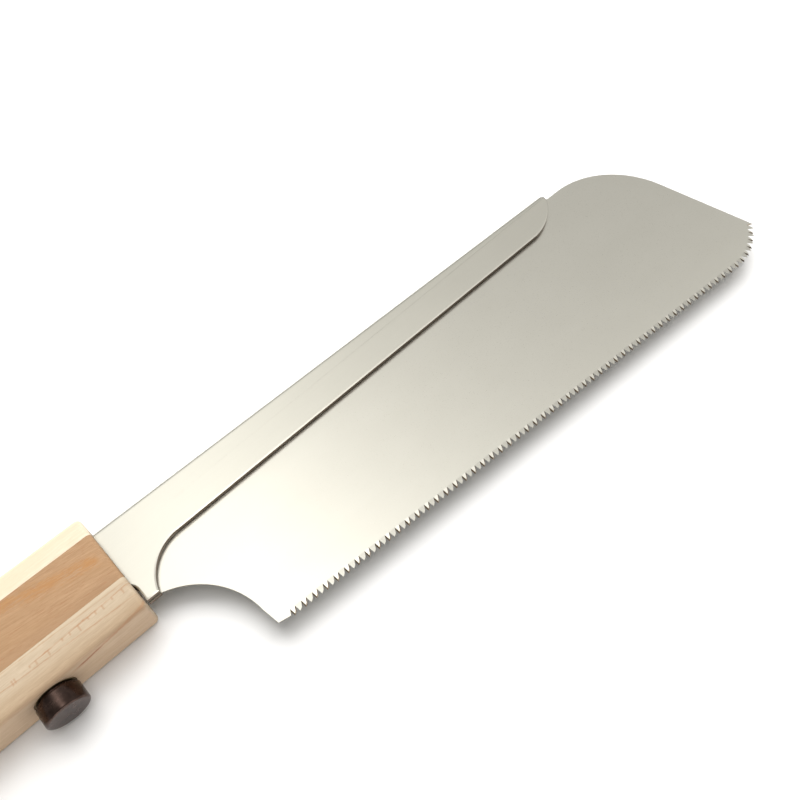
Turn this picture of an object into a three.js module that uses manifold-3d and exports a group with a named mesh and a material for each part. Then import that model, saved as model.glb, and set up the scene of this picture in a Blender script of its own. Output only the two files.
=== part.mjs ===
// Pull saw: a thin blade in a folded steel back, whose tang is clamped in a three-strip wooden handle by a
// thumb screw. Millimetres, +Z up. The saw lies on the handle's broad face.
//
// The model is built in the blade's own axes and moved to its reference point at the end:
// X runs along the back towards the toe, and is 0 at the handle's front face;
// Y runs from the teeth towards the back, and is 0 at the back's outer edge;
// Z is 0 at the middle of the blade's thickness.

import * as THREE from 'three';
import { mergeVertices } from 'three/addons/utils/BufferGeometryUtils.js';
import Module from 'manifold-3d';

// Blade
const BLADE_THICKNESS = 0.3;
const BLADE_TOP = -1.6;
const TOOTH_PITCH = 1.5;
const TOOTH_DEPTH = 1.8;
const STRAIGHT_TEETH = 104;
const ARC_TEETH = 12;
const TOE_ARC_RADIUS = 21;
const TOOTH_LINE_ANGLE = 0.0668; // radians: the blade widens towards the toe
const FIRST_GULLET = new THREE.Vector2(22.0, -45.69); // on the line through the tooth tips
const TOE_LEAN = 0.253; // radians: the toe edge leans forward
const NOSE_RADIUS = 26;
const HEEL_CORNER = new THREE.Vector2(18.5, -44.5);
const HEEL_ARC_CENTRE = new THREE.Vector2(-2.66, -40.93);
const HEEL_ARC_RADIUS = 20.5;

// Folded back, neck and tang
const LEAF_THICKNESS = 1.2;
const LEAF_GAP = 0.3; // between the blade and each leaf
const BACK_HALF = BLADE_THICKNESS / 2 + LEAF_GAP + LEAF_THICKNESS;
const FOLD_ROUNDING = 1;
const BACK_END = 155.6;
const BACK_END_CORNER = 1.1;
const BACK_END_ARC_CENTRE = new THREE.Vector2(140.9, 8.45);
const BACK_END_ARC_RADIUS = 18.3;
const BACK_END_LOWER_TURN = 0.12; // radians short of the bottom of that arc, where the lower edge starts
const BACK_LOWER_AT_ZERO = -12.7; // lower edge of the leaves, carried back to the handle's face
const BACK_TAPER = 0.0212; // rise of that edge for each millimetre towards the toe
const FLARE_CENTRE_X = 15.3;
const FLARE_RADIUS = 12;
const NECK_BOTTOM = -21.4;
const NECK_HEEL = 0.5; // the neck's shoulder stands this far in front of the handle
const SHOULDER_FILLET = 3;
const TANG_BOTTOM = -15.2;
const TANG_LENGTH = 46;

// Handle
const HANDLE_LENGTH = 210;
const HANDLE_HALF = 6.3;
const HANDLE_TOP = 3.15;
const SPINE_SEAM = -2.0;
const TOOTH_SEAM = -15.2;
const HANDLE_BOTTOM = -24.1;
const GLUE_LINE = 0.05;
const EDGE_ROUNDING = 1.2;
const BUTT_CORNER = 5;

// Steel socket in the handle's slot
const SOCKET_WALL = 0.6;
const SOCKET_CLEARANCE = 0.2;
const SOCKET_LENGTH = 58;
const SOCKET_SETBACK = 0.8;
const SOCKET_LIP = -14.5;
const FIT_GAP = 0.3; // clearance between pieces that rest on or pass through each other
const SLOT_BOTTOM = -17.0;

// Pins and rivets across the handle
const PIN_RADIUS = 2;
const PIN_Y = -8.6;
const LOCATING_PIN_X = -40;
const SOCKET_PIN_X = -54;
const RIVET_RADIUS = 1.6;
const RIVET_XS = [-10, -32];

// Thumb screw, on an axis along Y through the middle of the tang's thickness
const SCREW_X = -24.6;
const STUD_RADIUS = 2.5;
const BORE_RADIUS = STUD_RADIUS + FIT_GAP;
const PAD_RADIUS = 2.2;
const PAD_THICKNESS = 1.6;
const INSERT_RADIUS = 4;
const INSERT_FLANGE_RADIUS = 4.6;
const INSERT_FLANGE = 1;
const WASHER_RADIUS = 4.2;
const WASHER_THICKNESS = 0.5;
const KNOB_RADIUS = 5;
const KNOB_BASE = -24.9;
const KNOB_THICKNESS = 4.5;
const KNOB_CHAMFER = 0.4;
const KNOB_SOCKET_DEPTH = 3.3;

const PIN_RECESS = 0.1;
const MARGIN = 2; // how far a cutting tool reaches past what it cuts
const ROUND_SEGMENTS = 32;
const CURVE_SEGMENTS = 24;
const FOLD_SEGMENTS = 8;
const EDGE_SEGMENTS = 3;

const wasm = await Module();
wasm.setup();

// Closed three.js geometry to a solid that can be joined and cut.
function solid(geometry) {
  const bare = geometry.clone();
  bare.deleteAttribute('normal');
  bare.deleteAttribute('uv');
  const merged = mergeVertices(bare, 1e-5);
  const mesh = new wasm.Mesh({
    numProp: 3,
    vertProperties: new Float32Array(merged.attributes.position.array),
    triVerts: new Uint32Array(merged.index.array),
  });
  return new wasm.Manifold(mesh);
}

// Solid back to a three.js geometry.
function surface(body) {
  const mesh = body.getMesh();
  const geometry = new THREE.BufferGeometry();
  geometry.setAttribute('position', new THREE.BufferAttribute(mesh.vertProperties, 3));
  geometry.setIndex(new THREE.BufferAttribute(mesh.triVerts, 1));
  geometry.computeVertexNormals();
  return geometry;
}

// Flat outline in the blade's plane, given a thickness and centred on Z = 0.
function plate(shape, thickness) {
  const geometry = new THREE.ExtrudeGeometry(shape, {
    depth: thickness,
    bevelEnabled: false,
    curveSegments: CURVE_SEGMENTS,
  });
  geometry.translate(0, 0, -thickness / 2);
  return geometry;
}

// Box between two corners.
function box(low, high) {
  const size = high.map((value, i) => value - low[i]);
  const centre = high.map((value, i) => (value + low[i]) / 2);
  return new THREE.BoxGeometry(...size).translate(...centre);
}

// Round bar across the handle's thickness, along Z.
function crossBar(x, y, radius, height) {
  const geometry = new THREE.CylinderGeometry(radius, radius, height, ROUND_SEGMENTS);
  return geometry.rotateX(Math.PI / 2).translate(x, y, 0);
}

// Round bar on the screw's axis, along Y.
function screwBar(radius, fromY, toY) {
  const geometry = new THREE.CylinderGeometry(radius, radius, Math.abs(toY - fromY), ROUND_SEGMENTS);
  return geometry.translate(SCREW_X, (fromY + toY) / 2, 0);
}

// Solid of revolution on the screw's axis, from [radius, y] points that close on themselves.
function screwTurning(profile) {
  const points = profile.map(([radius, y]) => new THREE.Vector2(radius, y));
  return new THREE.LatheGeometry(points, ROUND_SEGMENTS).translate(SCREW_X, 0, 0);
}

function cut(body, ...tools) {
  return tools.reduce((rest, tool) => rest.subtract(solid(tool)), body);
}

// Point on the curve through the tooth tips: straight along the blade, then round the toe.
function tipCurve(distance) {
  const straight = STRAIGHT_TEETH * TOOTH_PITCH;
  const along = new THREE.Vector2(Math.cos(TOOTH_LINE_ANGLE), -Math.sin(TOOTH_LINE_ANGLE));
  const inward = new THREE.Vector2(-along.y, along.x);
  const flat = FIRST_GULLET.clone().addScaledVector(along, Math.min(distance, straight));
  if (distance <= straight) {
    return { point: flat, inward };
  }
  const turn = (distance - straight) / TOE_ARC_RADIUS;
  const centre = flat.addScaledVector(inward, TOE_ARC_RADIUS);
  const turned = inward.clone().rotateAround(new THREE.Vector2(), turn);
  return { point: centre.addScaledVector(turned, -TOE_ARC_RADIUS), inward: turned };
}

// Corners of a tooth, from the handle side: steep face to the tip, then the top facet and the back.
function toothCorner(tooth, alongShare, depthShare) {
  const { point, inward } = tipCurve((tooth + alongShare) * TOOTH_PITCH);
  return point.clone().addScaledVector(inward, TOOTH_DEPTH * (1 - depthShare));
}

const TOOTH_PROFILE = [[0, 0], [0.15, 1], [0.57, 0.76]]; // share of the pitch, share of the depth

function toothedEdge() {
  const corners = [];
  for (let tooth = 0; tooth < STRAIGHT_TEETH + ARC_TEETH; tooth += 1) {
    for (const [alongShare, depthShare] of TOOTH_PROFILE) {
      corners.push(toothCorner(tooth, alongShare, depthShare));
    }
  }
  corners.push(toothCorner(STRAIGHT_TEETH + ARC_TEETH, 0, 0));
  corners.push(toothCorner(STRAIGHT_TEETH + ARC_TEETH, 0.5, 1));
  return corners;
}

// Slot that is open at the tang's rear end and straddles the locating pin.
function tangSlotTool(radius) {
  const shape = new THREE.Shape();
  shape.moveTo(-TANG_LENGTH - 1, PIN_Y - radius);
  shape.lineTo(LOCATING_PIN_X, PIN_Y - radius);
  shape.absarc(LOCATING_PIN_X, PIN_Y, radius, -Math.PI / 2, Math.PI / 2, false);
  shape.lineTo(-TANG_LENGTH - 1, PIN_Y + radius);
  return plate(shape, 2 * HANDLE_HALF);
}

// Shoulder of the neck: a fillet from the neck's rear edge up to the tang's lower edge. The blade's own
// shoulder is set back from the leaves' by inset.
function shoulder(shape, inset) {
  const heel = NECK_HEEL + inset;
  const radius = SHOULDER_FILLET;
  const tangBottom = TANG_BOTTOM + inset;
  shape.lineTo(heel, NECK_BOTTOM + inset);
  shape.lineTo(heel, tangBottom - radius);
  shape.absarc(heel - radius, tangBottom - radius, radius, 0, Math.PI / 2, false);
  shape.lineTo(-TANG_LENGTH, tangBottom);
}

function bladeShape() {
  const inset = 0.35;
  const edge = toothedEdge();
  const toeCorner = edge[edge.length - 1];
  const noseTurn = Math.PI / 2 - TOE_LEAN;
  const noseCornerX = toeCorner.x - Math.tan(TOE_LEAN) * (BLADE_TOP - toeCorner.y);
  const noseCentreX = noseCornerX - NOSE_RADIUS * Math.tan(noseTurn / 2);
  const shape = new THREE.Shape();
  shape.moveTo(-TANG_LENGTH, BLADE_TOP);
  shape.lineTo(noseCentreX, BLADE_TOP);
  shape.absarc(noseCentreX, BLADE_TOP - NOSE_RADIUS, NOSE_RADIUS, Math.PI / 2, TOE_LEAN, true);
  for (const corner of edge.reverse()) {
    shape.lineTo(corner.x, corner.y);
  }
  const plainEdge = toothCorner(-1, ...TOOTH_PROFILE[2]);
  shape.lineTo(plainEdge.x, plainEdge.y);
  shape.lineTo(HEEL_CORNER.x, HEEL_CORNER.y);
  const neckAngle = Math.asin((NECK_BOTTOM + inset - HEEL_ARC_CENTRE.y) / HEEL_ARC_RADIUS);
  shape.absarc(HEEL_ARC_CENTRE.x, HEEL_ARC_CENTRE.y, HEEL_ARC_RADIUS, 0.05, neckAngle, false);
  shoulder(shape, inset);
  return shape;
}

function backShape() {
  const lowerEdge = (x) => BACK_LOWER_AT_ZERO + BACK_TAPER * x;
  const endCentre = BACK_END_ARC_CENTRE;
  const endStart = -Math.acos((BACK_END - endCentre.x) / BACK_END_ARC_RADIUS);
  const endStop = -Math.PI / 2 + BACK_END_LOWER_TURN;
  const flareCentreY = lowerEdge(FLARE_CENTRE_X) - FLARE_RADIUS;
  const flareStop = Math.PI - Math.asin((NECK_BOTTOM - flareCentreY) / FLARE_RADIUS);
  const shape = new THREE.Shape();
  shape.moveTo(-TANG_LENGTH, 0);
  shape.lineTo(BACK_END - BACK_END_CORNER, 0);
  shape.lineTo(BACK_END, -BACK_END_CORNER);
  shape.absarc(endCentre.x, endCentre.y, BACK_END_ARC_RADIUS, endStart, endStop, true);
  shape.lineTo(FLARE_CENTRE_X, lowerEdge(FLARE_CENTRE_X));
  shape.absarc(FLARE_CENTRE_X, flareCentreY, FLARE_RADIUS, Math.PI / 2, flareStop, false);
  shoulder(shape, 0);
  return shape;
}

// Envelope of the folded sheet: as thick as two leaves, the blade and its gaps, rounded where it folds over.
function foldEnvelope() {
  const section = new THREE.Shape();
  const corner = BACK_HALF - FOLD_ROUNDING;
  section.moveTo(BACK_HALF, 2 * NECK_BOTTOM);
  section.lineTo(BACK_HALF, -FOLD_ROUNDING);
  section.absarc(corner, -FOLD_ROUNDING, FOLD_ROUNDING, 0, Math.PI / 2, false);
  section.absarc(-corner, -FOLD_ROUNDING, FOLD_ROUNDING, Math.PI / 2, Math.PI, false);
  section.lineTo(-BACK_HALF, 2 * NECK_BOTTOM);
  const geometry = new THREE.ExtrudeGeometry(section, {
    depth: TANG_LENGTH + BACK_END + 2 * MARGIN,
    bevelEnabled: false,
    curveSegments: FOLD_SEGMENTS,
  });
  return geometry.rotateY(Math.PI / 2).translate(-TANG_LENGTH - MARGIN, 0, 0);
}

function rivetHoles(radius) {
  return RIVET_XS.map((x) => crossBar(x, PIN_Y, radius, 2 * HANDLE_HALF));
}

function makeBlade() {
  return cut(
    solid(plate(bladeShape(), BLADE_THICKNESS)),
    tangSlotTool(PIN_RADIUS + 2 * FIT_GAP),
    ...rivetHoles(RIVET_RADIUS + FIT_GAP),
  );
}

function makeBack() {
  const halfSlit = BLADE_THICKNESS / 2 + LEAF_GAP;
  const slit = box(
    [-TANG_LENGTH - MARGIN, 2 * NECK_BOTTOM, -halfSlit],
    [BACK_END + MARGIN, -LEAF_THICKNESS, halfSlit],
  );
  const folded = solid(plate(backShape(), 2 * HANDLE_HALF)).intersect(solid(foldEnvelope()));
  return cut(folded, slit, tangSlotTool(PIN_RADIUS + FIT_GAP), ...rivetHoles(RIVET_RADIUS + FIT_GAP));
}

// Half thickness of the socket's inside, its outside and the slot in the wood round it.
const SOCKET_INSIDE = BACK_HALF + SOCKET_CLEARANCE;
const SOCKET_OUTSIDE = SOCKET_INSIDE + SOCKET_WALL;
const SLOT_HALF = SOCKET_OUTSIDE + FIT_GAP;
const SOCKET_TOP = SOCKET_CLEARANCE + SOCKET_WALL;

function makeSocket() {
  const channel = box(
    [-SOCKET_LENGTH, SOCKET_LIP, -SOCKET_OUTSIDE],
    [-SOCKET_SETBACK, SOCKET_TOP, SOCKET_OUTSIDE],
  );
  const inside = box(
    [-SOCKET_LENGTH - MARGIN, SOCKET_LIP - MARGIN, -SOCKET_INSIDE],
    [MARGIN, SOCKET_CLEARANCE, SOCKET_INSIDE],
  );
  const holes = [LOCATING_PIN_X, SOCKET_PIN_X].map((x) => pinHole(x));
  return cut(solid(channel), inside, ...holes);
}

function pinHole(x) {
  return crossBar(x, PIN_Y, PIN_RADIUS + FIT_GAP, 2 * HANDLE_HALF + MARGIN);
}

// The whole handle before it is parted along its seams: a bar with rounded edges and a rounded butt.
function handleBar() {
  const radius = EDGE_ROUNDING * 1.25;
  const section = new THREE.Shape();
  const corners = [
    [HANDLE_HALF - radius, HANDLE_TOP - radius, 0],
    [radius - HANDLE_HALF, HANDLE_TOP - radius, 1],
    [radius - HANDLE_HALF, HANDLE_BOTTOM + radius, 2],
    [HANDLE_HALF - radius, HANDLE_BOTTOM + radius, 3],
  ];
  for (const [x, y, quarter] of corners) {
    section.absarc(x, y, radius, (quarter * Math.PI) / 2, ((quarter + 1) * Math.PI) / 2, false);
  }
  const bar = new THREE.ExtrudeGeometry(section, {
    depth: HANDLE_LENGTH - 2 * EDGE_ROUNDING,
    bevelEnabled: true,
    bevelThickness: EDGE_ROUNDING,
    bevelSize: EDGE_ROUNDING,
    bevelOffset: -EDGE_ROUNDING,
    bevelSegments: EDGE_SEGMENTS,
    curveSegments: EDGE_SEGMENTS,
  });
  bar.rotateY(Math.PI / 2).translate(EDGE_ROUNDING - HANDLE_LENGTH, 0, 0);
  const plan = new THREE.Shape();
  const buttX = BUTT_CORNER - HANDLE_LENGTH;
  plan.moveTo(MARGIN, HANDLE_BOTTOM);
  plan.lineTo(MARGIN, HANDLE_TOP);
  plan.absarc(buttX, HANDLE_TOP - BUTT_CORNER, BUTT_CORNER, Math.PI / 2, Math.PI, false);
  plan.absarc(buttX, HANDLE_BOTTOM + BUTT_CORNER, BUTT_CORNER, Math.PI, 1.5 * Math.PI, false);
  return solid(bar).intersect(solid(plate(plan, 2 * HANDLE_HALF)));
}

// One of the three glued strips, between two heights.
function makeStrip(bar, low, high) {
  const reach = HANDLE_HALF + MARGIN;
  const slab = box([-HANDLE_LENGTH - MARGIN, low, -reach], [MARGIN, high, reach]);
  const slot = box(
    [-SOCKET_LENGTH - FIT_GAP, SLOT_BOTTOM, -SLOT_HALF],
    [MARGIN, SOCKET_TOP + FIT_GAP, SLOT_HALF],
  );
  return cut(
    bar.intersect(solid(slab)),
    slot,
    pinHole(LOCATING_PIN_X),
    pinHole(SOCKET_PIN_X),
    screwBar(INSERT_RADIUS + FIT_GAP, SLOT_BOTTOM + MARGIN, HANDLE_BOTTOM - MARGIN),
    screwBar(
      INSERT_FLANGE_RADIUS + FIT_GAP,
      HANDLE_BOTTOM + INSERT_FLANGE + FIT_GAP,
      HANDLE_BOTTOM - MARGIN,
    ),
  );
}

function insertProfile() {
  const inner = SLOT_BOTTOM - FIT_GAP;
  return [
    [BORE_RADIUS, HANDLE_BOTTOM],
    [INSERT_FLANGE_RADIUS, HANDLE_BOTTOM],
    [INSERT_FLANGE_RADIUS, HANDLE_BOTTOM + INSERT_FLANGE],
    [INSERT_RADIUS, HANDLE_BOTTOM + INSERT_FLANGE],
    [INSERT_RADIUS, inner],
    [BORE_RADIUS, inner],
    [BORE_RADIUS, HANDLE_BOTTOM],
  ];
}

function washerProfile() {
  const top = (HANDLE_BOTTOM + KNOB_BASE + WASHER_THICKNESS) / 2;
  const under = top - WASHER_THICKNESS;
  return [
    [BORE_RADIUS, under],
    [WASHER_RADIUS, under],
    [WASHER_RADIUS, top],
    [BORE_RADIUS, top],
    [BORE_RADIUS, under],
  ];
}

function knobProfile() {
  const end = KNOB_BASE - KNOB_THICKNESS;
  const rim = KNOB_RADIUS - KNOB_CHAMFER;
  return [
    [0, end],
    [rim, end],
    [KNOB_RADIUS, end + KNOB_CHAMFER],
    [KNOB_RADIUS, KNOB_BASE - KNOB_CHAMFER],
    [rim, KNOB_BASE],
    [BORE_RADIUS, KNOB_BASE],
    [BORE_RADIUS, KNOB_BASE - KNOB_SOCKET_DEPTH],
    [0, KNOB_BASE - KNOB_SOCKET_DEPTH],
  ];
}

const PALE_STEEL = { color: 0xe9e7de, metalness: 0.85, roughness: 0.35 };
const BLADE_STEEL = { color: 0xbcb7aa, metalness: 0.9, roughness: 0.4 };
const ZINC = { color: 0xa9a9a6, metalness: 0.8, roughness: 0.5 };
const BRASS = { color: 0xb99a54, metalness: 0.9, roughness: 0.35 };
const BRONZE = { color: 0x3b2d2a, metalness: 0.8, roughness: 0.4 };
const CREAM_WOOD = { color: 0xf0e2c2, metalness: 0, roughness: 0.6 };
const BROWN_WOOD = { color: 0xc79b70, metalness: 0, roughness: 0.6 };
const PALE_WOOD = { color: 0xddc6a2, metalness: 0, roughness: 0.6 };

const saw = new THREE.Group();

function add(name, geometry, look) {
  const mesh = new THREE.Mesh(geometry, new THREE.MeshStandardMaterial(look));
  mesh.name = name;
  saw.add(mesh);
}

const bar = handleBar();
const pinLength = 2 * HANDLE_HALF - 2 * PIN_RECESS;
const padTop = TANG_BOTTOM - FIT_GAP;
const padEnd = padTop - PAD_THICKNESS;
const studEnd = KNOB_BASE - KNOB_SOCKET_DEPTH + FIT_GAP;

add('blade', surface(makeBlade()), BLADE_STEEL);
add('back_stiffener', surface(makeBack()), PALE_STEEL);
add('tang_rivet_front', crossBar(RIVET_XS[0], PIN_Y, RIVET_RADIUS, 2 * BACK_HALF), PALE_STEEL);
add('tang_rivet_rear', crossBar(RIVET_XS[1], PIN_Y, RIVET_RADIUS, 2 * BACK_HALF), PALE_STEEL);

const glue = GLUE_LINE / 2;
const strips = [
  ['handle_strip_spine', SPINE_SEAM + glue, HANDLE_TOP + MARGIN, CREAM_WOOD],
  ['handle_strip_middle', TOOTH_SEAM + glue, SPINE_SEAM - glue, BROWN_WOOD],
  ['handle_strip_tooth', HANDLE_BOTTOM - MARGIN, TOOTH_SEAM - glue, PALE_WOOD],
];
for (const [name, low, high, look] of strips) {
  add(name, surface(makeStrip(bar, low, high)), look);
}

add('tang_socket', surface(makeSocket()), ZINC);
add('locating_pin', crossBar(LOCATING_PIN_X, PIN_Y, PIN_RADIUS, pinLength), ZINC);
add('socket_pin', crossBar(SOCKET_PIN_X, PIN_Y, PIN_RADIUS, pinLength), ZINC);

add('threaded_insert', screwTurning(insertProfile()), BRASS);
add('knob_washer', screwTurning(washerProfile()), BRONZE);
add('pressure_pad', screwBar(PAD_RADIUS, padEnd, padTop), BRASS);
add('clamp_stud', screwBar(STUD_RADIUS, studEnd, padEnd - FIT_GAP), ZINC);
add('clamp_knob', screwTurning(knobProfile()), BRONZE);

// The reference point is the middle of the saw's plan, on the surface that the saw lies on.
const extent = new THREE.Box3().setFromObject(saw);
const middle = extent.getCenter(new THREE.Vector3());
saw.position.set(-middle.x, -middle.y, -extent.min.z);

export default saw;
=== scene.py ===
import bmesh
import bpy
import math
from mathutils import Matrix, Vector


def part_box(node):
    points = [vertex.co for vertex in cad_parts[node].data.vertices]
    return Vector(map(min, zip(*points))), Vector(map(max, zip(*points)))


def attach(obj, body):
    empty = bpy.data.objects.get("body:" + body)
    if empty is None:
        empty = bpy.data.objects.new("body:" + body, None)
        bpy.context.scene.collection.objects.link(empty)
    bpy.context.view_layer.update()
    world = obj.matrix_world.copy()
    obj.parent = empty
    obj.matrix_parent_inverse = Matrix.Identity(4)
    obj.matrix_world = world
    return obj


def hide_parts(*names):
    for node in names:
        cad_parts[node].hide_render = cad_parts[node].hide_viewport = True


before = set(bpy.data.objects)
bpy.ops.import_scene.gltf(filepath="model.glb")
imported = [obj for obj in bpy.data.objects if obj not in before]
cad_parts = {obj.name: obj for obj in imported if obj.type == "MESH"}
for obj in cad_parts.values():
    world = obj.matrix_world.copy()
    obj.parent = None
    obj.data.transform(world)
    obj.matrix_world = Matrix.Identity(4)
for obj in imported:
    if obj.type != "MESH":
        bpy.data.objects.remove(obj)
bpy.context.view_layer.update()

# The saw's own axes, in millimetres: X from the handle's front face to the toe, Y from the teeth to the
# back's outer edge (0), Z from the middle of the blade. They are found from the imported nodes.
ORIGIN = Vector((
    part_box("handle_strip_middle")[1].x,
    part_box("back_stiffener")[1].y,
    (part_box("blade")[0].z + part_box("blade")[1].z) / 2,
))
MM = 0.001


def extent(node, axis):
    """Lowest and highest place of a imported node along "x", "y" or "z", in the saw's axes."""
    index = "xyz".index(axis)
    return [round((corner[index] - ORIGIN[index]) / MM, 3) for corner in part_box(node)]


def middle(node, axis):
    return round(sum(extent(node, axis)) / 2, 3)


def half_width(node, axis):
    low, high = extent(node, axis)
    return round((high - low) / 2, 3)


def seam(below, above):
    """Height of the glue line between two strips."""
    return round((extent(below, "y")[1] + extent(above, "y")[0]) / 2, 3)


# Blade. Angles are in radians.
BLADE_HALF = half_width("blade", "z")
BLADE_TOP = extent("blade", "y")[1]
BLADE_INSET = 0.35  # the blade's neck and tang stand back from the leaves' edge
STRAIGHT_TEETH = 104
ARC_TEETH = 12
PITCH = 1.5
TOOTH_DEPTH = 1.8
TOOTH_SET = 0.18  # sideways lean of a tooth's tip
FLEAM = 0.145  # half a gullet's shift along the edge, from one face of the blade to the other
# A tooth's tip and the far end of its top facet, as (distance along the edge, height), on the face where the
# tooth is widest and on the face where its bevels narrow it.
WIDE_TOOTH = ((0.20, 1.80), (0.93, 1.30))
NARROW_TOOTH = ((0.42, 1.46), (0.80, 1.10))
FIRST_GULLET = Vector((22.0, -45.69))  # on the line through the tooth tips
TOOTH_LINE_ANGLE = 0.0668  # the blade widens towards the toe
TOE_RADIUS = 21.0
TOE_LEAN = 0.253
NOSE_RADIUS = 26.0
HEEL_CORNER = (18.5, -44.5)
HEEL_CENTRE = (-2.66, -40.93)
HEEL_RADIUS = 20.5
HEEL_START = 0.05  # where the heel's hollow starts on its arc

# Folded back, neck and tang
BACK_HALF = half_width("back_stiffener", "z")
FOLD_ROUNDING = 1.0
ROLLED_WIDTH = 0.42  # of the leaves' rounded-over rim
ROLLED_DROP = 0.10
NECK_BOTTOM = extent("back_stiffener", "y")[0]
NECK_HEEL = 0.5  # the neck's shoulder stands this far in front of the handle
SHOULDER_FILLET = 3.0
TANG_BOTTOM = -15.2
TANG_REAR = extent("blade", "x")[0]

# Handle
HANDLE_LENGTH = -extent("handle_strip_middle", "x")[0]
HANDLE_HALF = half_width("handle_strip_middle", "z")
HANDLE_TOP = extent("handle_strip_spine", "y")[1]
HANDLE_BOTTOM = extent("handle_strip_tooth", "y")[0]
SPINE_SEAM = seam("handle_strip_middle", "handle_strip_spine")
TOOTH_SEAM = seam("handle_strip_tooth", "handle_strip_middle")
HAIRLINE = 0.012  # half the gap that shows as a glue line
EDGE_ROUNDING = 1.2
SHARPEST_CORNER = 0.03  # least rounding of the front corners, at the broad faces
BUTT_CORNER = 5.0

# Socket, pins and rivets
SOCKET_REAR = extent("tang_socket", "x")[0]
SOCKET_TOP = extent("tang_socket", "y")[1]
SOCKET_HALF = half_width("tang_socket", "z")
SLOT_BOTTOM = -17.0
FIT_GAP = 0.3  # clearance between pieces that rest in or pass through each other
PIN_Y = middle("locating_pin", "y")
PIN_XS = {node: middle(node, "x") for node in ("locating_pin", "socket_pin")}
PIN_RADIUS = half_width("locating_pin", "x")
PIN_HALF = half_width("locating_pin", "z")
PIN_CHAMFER = 0.25
PIN_FIT = 0.03  # clearance of a pin in the wood
PIN_HOLE_HALF = 8.0  # reaches past both broad faces
RIVET_XS = {node: middle(node, "x") for node in ("tang_rivet_front", "tang_rivet_rear")}
RIVET_RADIUS = half_width("tang_rivet_front", "x")
RIVET_FIT = 0.1  # clearance of a rivet in the blade
# (radius, height over the leaf) from the middle of a rivet's head to its shank
RIVET_HEAD = ((0.0, 0.10), (0.7, 0.09), (1.2, 0.05), (RIVET_RADIUS + 0.12, 0.0), (RIVET_RADIUS, -0.12))

# Clamp screw
SCREW_X = middle("clamp_knob", "x")
KNOB_RADIUS = half_width("clamp_knob", "x")
KNOB_END, KNOB_BASE = extent("clamp_knob", "y")
KNOB_SOCKET_DEPTH = 3.3
BORE_RADIUS = 2.8
WASHER_RADIUS = half_width("knob_washer", "x")
INSERT_RADIUS = 4.0
INSERT_FLANGE_RADIUS = half_width("threaded_insert", "x")
INSERT_FLANGE = 1.0
FLANGE_GAP = 0.25  # between the flange and the bottom of its seat
SCREW_HOLE_START = -26.0  # outside the narrow face
STUD_RADIUS = half_width("clamp_stud", "x")
THREAD_DEPTH = 0.45
THREAD_LEAD = 0.8
THREAD_SLOPE = 2.6  # steepness of the groove's sides
STUD_CHAMFER = 0.35
STUD_CHAMFER_LENGTH = 0.6

CUT_REACH = 2.0  # how far a cutting tool reaches past what it cuts

# Room light. The ceiling's brightness is one number for the direction's x, from behind the handle to past the
# toe, times one for its y, from the teeth's side to the back's. Each row is (direction, brightness).
ROOM_STRENGTH = 3.65
ROOM_WALLS = 0.50
ROOM_TINT = (1.0, 0.99, 0.975, 1.0)
CEILING_FROM, CEILING_FULL = 0.25, 0.62  # the direction's z where the walls end and where all is ceiling
ROOM_ALONG = (
    (-1.0, 0.14), (-0.7, 0.14), (-0.45, 0.16), (-0.2, 0.35), (-0.05, 0.80), (0.0, 0.99), (0.10, 1.11),
    (0.16, 0.79), (0.21, 0.61), (0.28, 0.492), (0.35, 0.432), (0.41, 0.37), (0.475, 0.32), (0.55, 0.294),
    (0.61, 0.285), (0.68, 0.27), (0.78, 0.26), (1.0, 0.32),
)
ROOM_ACROSS = (
    (-1.0, 0.18), (-0.6, 0.12), (-0.42, 0.12), (-0.27, 0.40), (-0.13, 0.97), (0.0, 1.0), (0.08, 0.90),
    (0.16, 0.71), (0.24, 0.62), (0.32, 0.675), (0.38, 0.63), (0.46, 0.61), (0.60, 0.38), (0.8, 0.30),
    (1.0, 0.29),
)

# Floor and camera, in metres
FLOOR_HALF = 3.0
FLOOR_DROP = 0.00005  # keeps the floor just clear of the saw's underside
CAMERA_PLACE = (0.012745, -0.066296, 0.181743)
CAMERA_TARGET = (0.084535, 0.004618, 0.00645)
CAMERA_ROLL = math.radians(2.03)
CAMERA_LENS = 35.65
CAMERA_SENSOR = 36.0


# ---------------------------------------------------------------- mesh helpers

def place(points):
    return [ORIGIN + Vector(p) * MM for p in points]


def new_object(name, data):
    obj = bpy.data.objects.new(name, data)
    bpy.context.scene.collection.objects.link(obj)
    return obj


def mesh_object(name, points, faces, merge=0.0):
    """A closed mesh from points in the saw's axes. Points nearer than merge become one."""
    mesh = bpy.data.meshes.new(name)
    mesh.from_pydata(place(points), [], faces)
    bm = bmesh.new()
    bm.from_mesh(mesh)
    if merge:
        bmesh.ops.remove_doubles(bm, verts=bm.verts, dist=merge * MM)
    bmesh.ops.recalc_face_normals(bm, faces=bm.faces)
    bm.to_mesh(mesh)
    bm.free()
    return new_object(name, mesh)


def shade(obj, degrees=35):
    """Smooth, with the edges sharper than an angle kept sharp."""
    obj.data.shade_smooth()
    obj.data.set_sharp_from_angle(angle=math.radians(degrees))


def apply_modifiers(obj):
    graph = bpy.context.evaluated_depsgraph_get()
    graph.update()
    mesh = bpy.data.meshes.new_from_object(obj.evaluated_get(graph))
    obj.modifiers.clear()
    obj.data = mesh


def cut(obj, cutter):
    """Takes the cutter out of obj and removes the cutter."""
    step = obj.modifiers.new("cut", "BOOLEAN")
    step.operation = "DIFFERENCE"
    step.solver = "EXACT"
    step.object = cutter
    bpy.context.view_layer.update()
    apply_modifiers(obj)
    bpy.data.objects.remove(cutter)


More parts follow.
